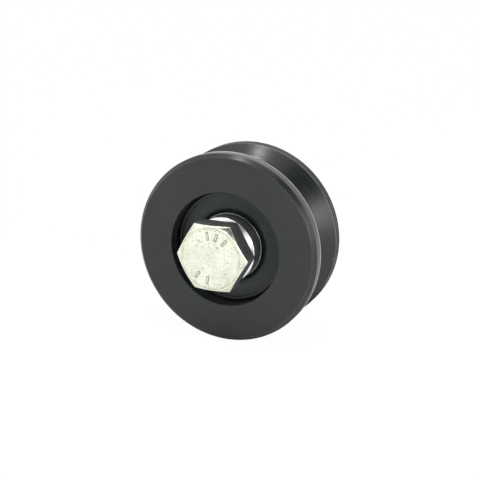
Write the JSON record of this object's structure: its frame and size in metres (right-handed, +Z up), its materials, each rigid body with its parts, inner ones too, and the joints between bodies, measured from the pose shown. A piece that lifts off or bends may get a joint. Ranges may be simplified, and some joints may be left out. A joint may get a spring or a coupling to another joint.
{
  "type": "v groove idler wheel",
  "caption": "V groove idler wheel running on a sealed deep-groove ball bearing, held by spacers on a plated hex bolt.",
  "frame": {"origin": "on the axle, in the rear spacer's end face, which bears on the plate that the wheel is bolted to", "axes": "+Y along the axle, from the bolt's head to its thread; +Z up, square to a pair of the head's flats; +X through a pair of the head's corners"},
  "size_m": [0.05, 0.0464, 0.05],
  "materials": {
    "black_wheel": "satin black oxide on turned steel",
    "ring_steel": "ground bearing steel",
    "seal_rubber": "moulded nitrile rubber, matte",
    "cage_steel": "pressed steel sheet",
    "ball_steel": "polished ball steel",
    "plated_spacer": "bright zinc plate",
    "plated_bolt": "pale yellow-white zinc plate, slightly stained"
  },
  "bodies": {
    "axle": {"hex_bolt": "plated_bolt", "front_spacer": "plated_spacer", "rear_spacer": "plated_spacer", "bearing_inner_ring": "ring_steel"},
    "wheel_body": {"wheel": "black_wheel", "bearing_outer_ring": "ring_steel", "seal_front": "seal_rubber", "seal_rear": "seal_rubber"},
    "cage_body": {"cage_front": "cage_steel", "cage_rear": "cage_steel", "cage_rivets": "cage_steel"},
    "ball_1_body": {"ball_1": "ball_steel"},
    "ball_2_body": {"ball_2": "ball_steel"},
    "ball_3_body": {"ball_3": "ball_steel"},
    "ball_4_body": {"ball_4": "ball_steel"},
    "ball_5_body": {"ball_5": "ball_steel"},
    "ball_6_body": {"ball_6": "ball_steel"},
    "ball_7_body": {"ball_7": "ball_steel"},
    "ball_8_body": {"ball_8": "ball_steel"}
  },
  "joints": [
    {"name": "wheel_spin", "type": "hinge", "parent": "axle", "child": "wheel_body", "pos_m": [0, -0.0106, 0], "axis": [0, 1, 0], "continuous": true},
    {"name": "cage_spin", "type": "hinge", "parent": "axle", "child": "cage_body", "pos_m": [0, -0.0121, 0], "axis": [0, 1, 0], "continuous": true},
    {"name": "ball_1_spin", "type": "hinge", "parent": "cage_body", "child": "ball_1_body", "pos_m": [0.01, -0.0121, 0], "axis": [0, 1, 0], "continuous": true},
    {"name": "ball_2_spin", "type": "hinge", "parent": "cage_body", "child": "ball_2_body", "pos_m": [0.00707, -0.0121, -0.00707], "axis": [0, 1, 0], "continuous": true},
    {"name": "ball_3_spin", "type": "hinge", "parent": "cage_body", "child": "ball_3_body", "pos_m": [0, -0.0121, -0.01], "axis": [0, 1, 0], "continuous": true},
    {"name": "ball_4_spin", "type": "hinge", "parent": "cage_body", "child": "ball_4_body", "pos_m": [-0.00707, -0.0121, -0.00707], "axis": [0, 1, 0], "continuous": true},
    {"name": "ball_5_spin", "type": "hinge", "parent": "cage_body", "child": "ball_5_body", "pos_m": [-0.01, -0.0121, 0], "axis": [0, 1, 0], "continuous": true},
    {"name": "ball_6_spin", "type": "hinge", "parent": "cage_body", "child": "ball_6_body", "pos_m": [-0.00707, -0.0121, 0.00707], "axis": [0, 1, 0], "continuous": true},
    {"name": "ball_7_spin", "type": "hinge", "parent": "cage_body", "child": "ball_7_body", "pos_m": [0, -0.0121, 0.01], "axis": [0, 1, 0], "continuous": true},
    {"name": "ball_8_spin", "type": "hinge", "parent": "cage_body", "child": "ball_8_body", "pos_m": [0.00707, -0.0121, 0.00707], "axis": [0, 1, 0], "continuous": true}
  ],
  "couplings": [
    {"joint": "cage_spin", "follows": "wheel_spin", "ratio": 0.61906},
    {"joint": "ball_1_spin", "follows": "wheel_spin", "ratio": 1.9807},
    {"joint": "ball_2_spin", "follows": "wheel_spin", "ratio": 1.9807},
    {"joint": "ball_3_spin", "follows": "wheel_spin", "ratio": 1.9807},
    {"joint": "ball_4_spin", "follows": "wheel_spin", "ratio": 1.9807},
    {"joint": "ball_5_spin", "follows": "wheel_spin", "ratio": 1.9807},
    {"joint": "ball_6_spin", "follows": "wheel_spin", "ratio": 1.9807},
    {"joint": "ball_7_spin", "follows": "wheel_spin", "ratio": 1.9807},
    {"joint": "ball_8_spin", "follows": "wheel_spin", "ratio": 1.9807}
  ]
}
